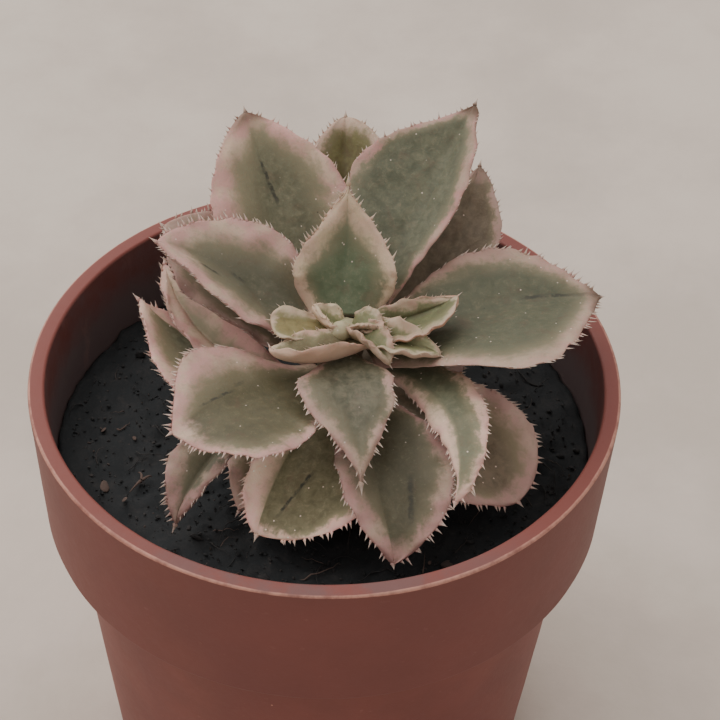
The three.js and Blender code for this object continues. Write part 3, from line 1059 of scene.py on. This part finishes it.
    def cut(self, scratch: Scratch, along: Value, across: Value, rasped: Value) -> Value:
        """Returns 1 along a scratch, broken up where the noise is low."""
        (s0, a0), (s1, a1) = scratch.start, scratch.end
        slope = (a1 - a0) / (s1 - s0)
        away = abs(across - (along * slope + (a0 - slope * s0)) + (rasped - 0.5) * 0.8)
        window = along.rise(s0 - 0.01, s0 + 0.05) * along.fall(s1 - 0.06, s1 + 0.01)
        return away.fall(scratch.width * 0.3, scratch.width) * window * (0.45 + rasped.rise(0.4, 0.55) * 0.55)


@dataclass(frozen=True)
class Leaf:
    """A fleshy blade with a groove over its midrib, a keel below and a fringe of cilia."""

    node: str
    blade: Blade
    finish: LeafFinish
    thickness: float = 1.5
    margin: float = 0.7
    groove: float = 0.14
    groove_width: float = 0.7
    keel: float = 0.22
    keel_width: float = 1.3
    ripple: float = 0.3
    wave: float = 0.7
    ragged: float = 0.5
    crinkle: float = 0.0
    crinkles: float = 5.0
    rings: int = 120
    sides: int = 44
    cilium: float = 0.95
    cilium_pitch: float = 0.8
    cilium_root: float = 0.44
    cilium_buried: float = 0.35
    fringe_from: float = 0.12
    fringe_to: float = 0.99
    fringe_steps: int = 240
    mucro: float = 0.9

    def body(self, work: Work) -> None:
        """Adds the blade itself: a flattened closed tube along the midrib, finer towards its tip."""

        def share(along: float) -> float:
            return 1 - (1 - along) ** 1.4

        def place(along: float, angle: float) -> Vector:
            s = share(along)
            t = math.cos(angle)
            spot = self.blade.spot(s, t)
            if along in (0.0, 1.0):
                return self.blade.midrib(s)[0]
            mm = abs(t) * self.blade.half_width(Side.at(t), s)
            half = (self.thickness + (self.margin - self.thickness) * t * t) / 2
            half *= math.sqrt(max(1 - abs(t) ** 8, 0)) * math.sqrt(max(1 - s ** 24, 0))
            over = math.sin(angle) >= 0
            if over:
                half -= self.groove * math.exp(-((mm / self.groove_width) ** 2)) * opened(s)
            else:
                half += self.keel * math.exp(-((mm / self.keel_width) ** 2)) * opened(s)
            lift, reach = self.unevenness(spot, s, t)
            return spot.point + spot.normal * (lift + (half if over else -half)) + spot.outward * reach

        def marks(along: float, angle: float) -> Layers:
            s = share(along)
            t = math.cos(angle)
            width = self.blade.half_width(Side.at(t), s)
            return {
                "edge": (1 - abs(t)) * width,
                "along": s,
                "across": t * width,
                "underside": 1.0 - smoothstep(math.sin(angle), -0.2, 0.05),
                "cilium": 0.0,
            }

        work.roll(self.rings, self.sides, place, marks)

    def unevenness(self, spot: Spot, s: float, t: float) -> tuple[float, float]:
        """Returns how far a place is lifted and pushed outwards from the blade's even shape."""
        past_root = smoothstep(s, 0.1, 0.4)
        near_edge = abs(t) ** 3
        lift = self.ripple * noise.noise(spot.point * 0.22) * past_root
        lift += self.wave * noise.noise(spot.point * 0.3 + spot.outward * 9) * near_edge * past_root
        lift += self.crinkle * t * t * math.sin(math.tau * self.crinkles * s + 2 * t) * opened(s)
        reach = self.ragged * noise.noise(spot.point * 0.45) * near_edge * opened(s)
        return lift, reach

    def fringe(self, work: Work, draw: random.Random) -> None:
        """Adds the cilia along both margins, and the point at the tip."""
        reach_along = self.fringe_to - self.fringe_from
        for side in Side:
            walked = 0.0
            due = self.cilium_pitch
            last = self.blade.spot(self.fringe_from, side.value).point
            for index in range(1, self.fringe_steps):
                s = self.fringe_from + reach_along * index / self.fringe_steps
                spot = self.blade.spot(s, side.value)
                walked += (spot.point - last).length
                last = spot.point
                if walked >= due:
                    spread = draw.choice((0.5, 0.8, 1.0, 1.8)) * draw.uniform(0.8, 1.2)
                    due = walked + self.cilium_pitch * spread
                    size = self.cilium * draw.uniform(0.3, 1.3) * smoothstep(s, 0.0, 0.45)
                    lift, reach = self.unevenness(spot, s, side.value)
                    point = spot.point + spot.normal * lift + spot.outward * reach
                    self.hair(work, spot._replace(point=point), s, side, size, draw)
        point, forward, _, up = self.blade.midrib(1.0)
        tip = Spot(point, up, forward, forward)
        self.hair(work, tip, 1.0, Side.LEFT, self.mucro, draw, root=1.7 * self.cilium_root)

    def hair(self, work: Work, spot: Spot, s: float, side: Side, size: float, draw: random.Random,
             root: float | None = None) -> None:
        """Adds one cilium, with a broad root that runs into the margin and a tip that leans forward.

        Args:
            work: The mesh to add it to.
            spot: Its place on the margin.
            s: The share of the midrib's length there.
            side: The half that it is on.
            size: Its length.
            draw: What its lean is drawn from.
            root: The half width of its root, if that isn't the usual one.
        """
        root = root or self.cilium_root
        lean = draw.uniform(0.5, 1.4)
        heading = spot.outward + spot.forward * lean + spot.normal * draw.uniform(-0.25, 0.35)
        heading.normalize()
        start = spot.point - spot.outward * self.cilium_buried
        sway = draw.uniform(0.05, 0.4) * size

        def path(u: float) -> Vector:
            return start + heading * (size + self.cilium_buried) * u + spot.forward * (sway * u * u)

        def radius(u: float) -> float:
            return root * (0.6 * (1 - u) ** 2.2 + 0.38 * (1 - u) ** 0.9)

        def marks(u: float, _: float) -> Layers:
            return {"edge": 0.0, "along": s, "across": side.value * 4.0, "underside": 0.0, "cilium": u}

        work.strand(path, radius, rings=5, sides=5, flat=0.45, up=spot.normal, marks=marks)

    def build(self, name: str) -> bpy.types.Object:
        """Makes the leaf.

        Args:
            name: The piece's name.

        Returns:
            The piece.
        """
        draw = random.Random(name)
        work = Work(*SKIN)
        self.body(work)
        self.fringe(work, draw)
        work.tidy()
        return work.piece(name, self.finish.material(self.blade.length()), "leaf", self.node)


@dataclass
class Rosette:
    """The open leaves round the heart, with the points that are long and the margins that are bare."""

    points: dict[str, float] = field(default_factory=lambda: {
        "leaf_upright": 1.8, "leaf_inner_front": 1.5, "leaf_drooping": 1.3, "leaf_left": 1.2,
        "leaf_low_left": 1.3, "leaf_right": 0.6, "leaf_front": 0.7})
    bare: tuple[str, ...] = (
        "leaf_back_left", "leaf_back_middle", "leaf_back_right", "leaf_behind_right", "leaf_low_back",
        "leaf_low_right", "leaf_under")

    def leaves(self) -> dict[str, tuple[Blade, LeafFinish]]:
        """Returns each leaf's blade and finish, by its node."""
        sage = LeafFinish("leaf_sage")
        fresh = replace(sage, name="leaf_fresh", green=tone(102, 102, 81), deep=tone(80, 82, 63))
        olive = replace(sage, name="leaf_olive", green=tone(106, 100, 76), deep=tone(84, 79, 58))
        aged = replace(sage, name="leaf_aged", green=tone(120, 106, 88), deep=tone(94, 84, 68),
                       margin=tone(186, 156, 144), blush=tone(180, 142, 136))
        rosy = replace(sage, name="leaf_rosy", pinkness=0.9, band=(3.2, 3.2))
        # The light factors are painted light and shade: leaves that lie in shade are coloured lighter, and
        # brightly lit ones darker.
        return {
            "leaf_back_left": (
                Blade(at=82, tip=(-14, 33, 104), start=10, end=50, width=23, wide=(1, 1.05),
                      round=(0.7, 0.8)),
                replace(sage, light=1.3, band=(4.8, 3.2), pinkness=0.8, tip_brown=0.8, scratches=(
                    Scratch((0.61, -0.9), (0.84, 0.1), 0.45),)),
            ),
            "leaf_back_middle": (
                Blade(at=80, tip=(1.5, 40, 98.5), start=10, end=45, width=15, belly=0.7, fold=(20, 20),
                      wide=(0.95, 1.2), round=(0.6, 0.5)),
                replace(olive, green=tone(120, 114, 74), deep=tone(98, 88, 56), band=(1.6, 1.6),
                        pinkness=0.1),
            ),
            "leaf_back_right": (
                Blade(at=85.2, tip=(21.5, 33, 107), start=23, end=45, width=23, belly=0.62, fold=(5, 25),
                      wide=(1.15, 0.62), round=(1.15, 0.8)),
                replace(fresh, green=tone(104, 104, 82), margin=tone(182, 156, 138),
                        blush=tone(190, 142, 136), band=(1.2, 1.6), tip_band=2.0, pinkness=0.9,
                        tip_brown=0.9),
            ),
            "leaf_behind_right": (
                Blade(at=79, tip=(23, 33, 95), start=5, end=40, width=20, belly=0.55, bend=-18,
                      wide=(0.7, 0.85), round=(0.9, 0.7)),
                replace(aged, light=1.15, band=(1.0, 0.9), tip_brown=0.8),
            ),
            "leaf_right": (
                Blade(at=84, tip=(41.5, 9.5, 89), width=21, bend=4, wide=(1, 2.05), round=(0.95, 1)),
                replace(fresh, green=tone(94, 94, 73), margin=tone(188, 162, 144), blush=tone(188, 146, 138),
                        band=(2.3, 4.2), tip_brown=0.9, scratches=(
                    Scratch((0.66, 0.7), (0.9, 0.2), 0.5, 0.7), Scratch((0.86, 0.1), (0.99, 0.0), 0.8, 0.4))),
            ),
            "leaf_upright": (
                Blade(at=87.4, tip=(2.5, 17, 103), root=4.2, start=30, end=75, width=17, belly=0.3,
                      foot=0.6, fold=(15, 15), curl=20, round=(1.2, 1.2)),
                replace(fresh, green=tone(98, 107, 81), deep=tone(80, 91, 65), light=1.05,
                        margin=tone(218, 194, 164), band=(3.5, 3.6), pinkness=0.25),
            ),
            "leaf_left": (
                Blade(at=85, tip=(-25.8, 8, 98), end=25, width=20, belly=0.45, bend=-8, wide=(0.78, 1.2),
                      round=(0.9, 0.7)),
                replace(sage, green=tone(98, 95, 78), band=(3.8, 4.4), pinkness=0.7, scratches=(
                    Scratch((0.62, 0.9), (0.78, 0.5), 0.5, 0.7),
                    Scratch((0.48, -0.7), (0.6, -1.0), 0.4, 0.6))),
            ),
            "leaf_behind_left": (
                Blade(at=79, tip=(-26, 19, 92), start=10, end=30, width=16, belly=0.7, wide=(1, 1.4),
                      round=(0.9, 0.6)),
                aged,
            ),
            "leaf_low_left": (
                Blade(at=74, tip=(-29.5, 13, 82), start=-10, end=50, width=20, belly=0.55, wide=(1.4, 0.5),
                      round=(0.9, 1.2)),
                replace(rosy, light=1.45, band=(4.2, 4.4)),
            ),
            "leaf_folded": (
                Blade(at=77, tip=(-26, 19.5, 84), start=0, end=35, bend=42, width=13, wide=(0.6, 1),
                      fold=(25, 30), curl=15),
                replace(rosy, light=1.15, band=(4.5, 4.5)),
            ),
            "leaf_front_left": (
                Blade(at=82, tip=(-21.5, -20, 86), start=10, end=-10, width=22, belly=0.65, bend=10,
                      wide=(1.25, 1), round=(0.6, 1), fold=(3, 12)),
                replace(olive, green=tone(96, 90, 66), band=(2.2, 4.4), pinkness=0.8, scratches=(
                    Scratch((0.58, -2.3), (0.83, -1.5), 0.35, 0.7),
                    Scratch((0.5, -3.2), (0.6, -2.9), 0.4, 0.6))),
            ),
            "leaf_drooping": (
                Blade(at=75, tip=(-21, -24, 71), start=10, end=-50, width=14, belly=0.7, bend=-12,
                      wide=(0.4, 0.8), fold=(20, 20)),
                replace(rosy, light=0.75, band=(0.9, 3.0), tip_band=1.5),
            ),
            "leaf_under": (
                Blade(at=72.5, tip=(-12, -20, 70), start=0, end=-20, width=14),
                replace(aged, light=1.9),
            ),
            "leaf_front_middle": (
                Blade(at=77, tip=(-9, -25.5, 71), start=0, end=-30, width=20, belly=0.65, wide=(1.5, 0.5),
                      round=(0.45, 0.6), fold=(6, 12)),
                replace(olive, light=2.1, band=(1.5, 4.2), tip_band=1.8, scratches=(
                    Scratch((0.56, 4.8), (0.89, 2.2), 0.4, 0.9),)),
            ),
            "leaf_front": (
                Blade(at=80.5, tip=(11, -33, 74), start=5, end=-40, width=19, belly=0.62, bend=4,
                      wide=(1.15, 0.68), round=(0.7, 0.9), fold=(5, 12)),
                replace(olive, green=tone(98, 92, 70), light=0.82, band=(2.2, 3.2), pinkness=0.7, scratches=(
                    Scratch((0.62, 4.5), (0.86, 3.2), 0.6, 0.6),)),
            ),
            "leaf_inner_front": (
                Blade(at=87, tip=(6, -26, 83.2), start=14, end=-40, width=15.5, belly=0.35, turn=-10,
                      wide=(0.82, 1), round=(1.2, 1.5), fold=(12, -10)),
                replace(sage, green=tone(122, 117, 96), light=0.8, band=(1.2, 2.4), tip_band=2.2,
                        pinkness=0.4),
            ),
            "leaf_inner_front_right": (
                Blade(at=80.5, tip=(19.5, -28, 82), start=15, end=-45, width=16, belly=0.5, bend=50,
                      wide=(0.66, 0.42), round=(0.65, 1.6), fold=(12, -30)),
                replace(fresh, light=1.28, band=(1.3, 2.8), tip_band=2.0, pinkness=0.4),
            ),
            "leaf_front_right": (
                Blade(at=77, tip=(29.5, -17, 71), start=0, end=-20, width=21, belly=0.65, bend=12,
                      wide=(1, 1.3), round=(0.5, 0.6)),
                replace(aged, light=1.7, band=(3.2, 3.2), pinkness=0.9),
            ),
            "leaf_low_back": (Blade(at=75, tip=(6, 30, 79), start=5, end=10, width=18), aged),
            "leaf_low_right": (Blade(at=73, tip=(22, 13, 75), start=0, end=10, width=16), aged),
        }

    def build(self) -> None:
        """Makes every open leaf."""
        for node, (blade, finish) in self.leaves().items():
            leaf = Leaf(node, blade, replace(finish, name=f"{node}_skin"), mucro=self.points.get(node, 1.0))
            if node in self.bare:
                leaf = replace(leaf, cilium=0.65, cilium_pitch=0.95, cilium_root=0.36)
            leaf.build(f"{node}_blade")


@dataclass
class Heart:
    """The growing point: a low dome, a bud and the small crinkled leaves that close over it."""

    node: str = "heart"
    core_radius: float = 3.1
    core_height: float = 2.6
    bud: tuple[float, float, float] = (2.1, -2.2, 90.6)
    bud_radius: float = 1.6

    def leaves(self) -> list[tuple[Blade, LeafFinish, float]]:
        """Returns the small leaves' blades and finishes, and how deep their margins are crinkled."""
        young = LeafFinish("young", green=tone(118, 118, 84), deep=tone(92, 96, 62), halo=tone(152, 146, 112),
                           margin=tone(198, 182, 156), blush=tone(200, 162, 146), under=tone(184, 158, 138),
                           band=(1.3, 1.3), tip_band=1.2, pinkness=0.3)
        small = Blade(tip=(0, 0, 0), at=88, root=0.8, foot=0.5, belly=0.5, fold=(35, 35), curl=40,
                      round=(0.7, 0.7))
        # The light factors of the small leaves are painted light, which colours them lighter.
        rolled = replace(young, light=1.15, green=tone(112, 102, 76), deep=tone(88, 80, 56),
                         under=tone(192, 158, 138), pinkness=0.7)
        return [
            (replace(small, at=89.2, root=3, tip=(-8.1, -5.6, 90), start=0, end=10, bend=95, width=12,
                     wide=(0.67, 0.8), round=(1, 0.5), fold=(58, 15), curl=28), rolled, 0.14),
            (replace(small, at=89, tip=(-8.3, -1.2, 91.5), start=15, end=15, width=8, belly=0.8, foot=0.2,
                     wide=(1.2, 0.6), round=(0.4, 0.4), fold=(-5, 20), curl=20),
             replace(young, green=tone(140, 128, 86), deep=tone(112, 102, 66)), 0.1),
            (replace(small, at=88.5, tip=(-2, 0.3, 93.3), root=-1, start=10, end=70, width=9, wide=(0.9, 0.7),
                     fold=(15, 15), curl=45), replace(young, light=1.4), 0.06),
            (replace(small, tip=(8.2, -1.6, 90.8), start=60, end=-45, width=6, fold=(15, 20)), young, 0.08),
            (replace(small, tip=(9.6, -7.6, 89.3), start=45, end=-30, width=7, fold=(20, 35)),
             replace(young, pinkness=0.7), 0.2),
            (replace(small, tip=(9.4, -2.9, 92), start=20, end=50, width=4), young, 0.2),
            (replace(small, tip=(17, -6.4, 90.4), start=10, width=10, belly=0.45, wide=(0.75, 0.9),
                     fold=(35, 10), curl=30), young, 0.25),
            (replace(small, root=2, tip=(19.5, 4, 93), start=6, end=40, width=10, belly=0.45,
                     wide=(0.65, 1.6), round=(0.9, 0.3), fold=(50, 8), curl=30),
             replace(young, green=tone(104, 106, 72), deep=tone(84, 88, 58), under=tone(196, 150, 126),
                     band=(1.3, 2.2), pinkness=0.6), 0.2),
        ]

    def build(self) -> None:
        """Makes the small leaves, the dome and the bud."""
        for index, (blade, finish, crinkle) in enumerate(self.leaves(), 1):
            name = f"heart_leaf_{index}"
            leaf = Leaf(self.node, blade, replace(finish, name=f"{name}_skin"), thickness=1.1, margin=0.5,
                        groove=0.05, keel=0.1, ripple=0.1, crinkle=crinkle, rings=48, sides=32, cilium=0.6,
                        cilium_pitch=0.85, cilium_root=0.18, mucro=0.9)
            leaf.build(name)
        self.dome()

    def dome(self) -> None:
        """Makes the dome that the small leaves spring from, with the round bud on it."""
        work = Work(*SKIN)
        middle = Stem().axis(88.0)
        for centre, radius, height in (
            (middle - Vector((0, 0, 0.6)), self.core_radius, self.core_height),
            (Vector(self.bud), self.bud_radius, self.bud_radius),
        ):
            matrix = Matrix.Translation(centre) @ Matrix.Diagonal((radius, radius, height, 1))
            ball = bmesh.ops.create_uvsphere(work.bm, u_segments=32, v_segments=20, radius=1.0, matrix=matrix)
            for vert in ball["verts"]:
                vert.co += (vert.co - centre) * 0.08 * noise.noise(vert.co * 1.1)
                work.mark(vert, {"edge": 0.9, "along": 0.5, "across": 0.5, "underside": 0.0, "cilium": 0.0})
        work.tidy()
        skin = LeafFinish("heart_bud_skin", green=tone(146, 146, 112), deep=tone(118, 122, 88),
                          margin=tone(184, 176, 144), halo=tone(166, 160, 126), pinkness=0.1)
        work.piece("heart_bud", skin.material(10.0), "leaf", self.node)


# ---------------------------------------------------------------- floor, light and camera
@dataclass
class Studio:
    """A pale floor, soft light from behind on the left, and the camera above the front.

    The camera's place is in millimetres, and the floor and the lamp are in metres.
    """

    floor_size: float = 4.0
    camera_place: tuple[float, float, float] = (5.2, -246.4, 312.4)
    camera_down: float = 42.96
    camera_roll: float = 2.05
    lens: float = 111.45
    sensor: float = 36.0
    sky: Colour = tone(236, 232, 228)
    sky_strength: float = 0.8
    lamp_place: tuple[float, float, float] = (-0.6, 0.52, 1.05)
    lamp_size: float = 1.8
    lamp_power: float = 17.0
    lamp_colour: tuple[float, float, float] = (1.0, 0.97, 0.94)
    stone: tuple[Colour, Colour] = (tone(201, 188, 176), tone(217, 204, 192))

    def camera(self) -> None:
        """Makes the camera at the place that the photograph was taken from."""
        data = bpy.data.cameras.new("camera")
        data.sensor_width = self.sensor
        data.lens = self.lens
        data.clip_end = 20.0
        eye = linked("camera", data)
        tip = Matrix.Rotation(math.radians(90 - self.camera_down), 4, "X")
        roll = Matrix.Rotation(math.radians(self.camera_roll), 4, "Z")
        eye.matrix_world = Matrix.Translation(Vector(self.camera_place) * MM) @ tip @ roll
        bpy.context.scene.camera = eye

    def floor(self) -> None:
        """Makes the pale floor."""
        bm = bmesh.new()
        bmesh.ops.create_grid(bm, x_segments=1, y_segments=1, size=self.floor_size / 2)
        floor = linked("floor", mesh_of(bm, "floor"))
        shade = Shade("floor_stone")
        cloud = shade.grain(60, detail=6, rough=0.6)
        grit = shade.grain(2.5, detail=4)
        colour = shade.mix(*self.stone, cloud.rise(0.35, 0.65))
        floor.data.materials.append(shade.finish(colour, 0.85 + grit * 0.1, shade.bump(grit, 0.1)))

    def light(self) -> None:
        """Makes the soft light of the room and one large lamp."""
        world = bpy.data.worlds.new("room")
        world.use_nodes = True
        sky = world.node_tree.nodes["Background"]
        sky.inputs["Color"].default_value = self.sky
        sky.inputs["Strength"].default_value = self.sky_strength
        bpy.context.scene.world = world
        data = bpy.data.lights.new("window", "AREA")
        data.shape = "DISK"
        data.size = self.lamp_size
        data.energy = self.lamp_power
        data.color = self.lamp_colour
        lamp = linked("window", data)
        lamp.location = self.lamp_place
        lamp.rotation_mode = "QUATERNION"
        lamp.rotation_quaternion = (-lamp.location).to_track_quat("-Z", "Y")

    def build(self) -> None:
        """Makes the camera, the floor and the light."""
        self.camera()
        self.floor()
        self.light()


def main() -> None:
    """Builds the plant in its pot."""
    logging.basicConfig(level=logging.INFO, format="%(name)s: %(message)s")
    Studio().build()
    pot = Pot()
    pot.build()
    Soil(pot).build()
    Stem().build()
    Heart().build()
    Rosette().build()


if __name__ == "__main__":
    main()
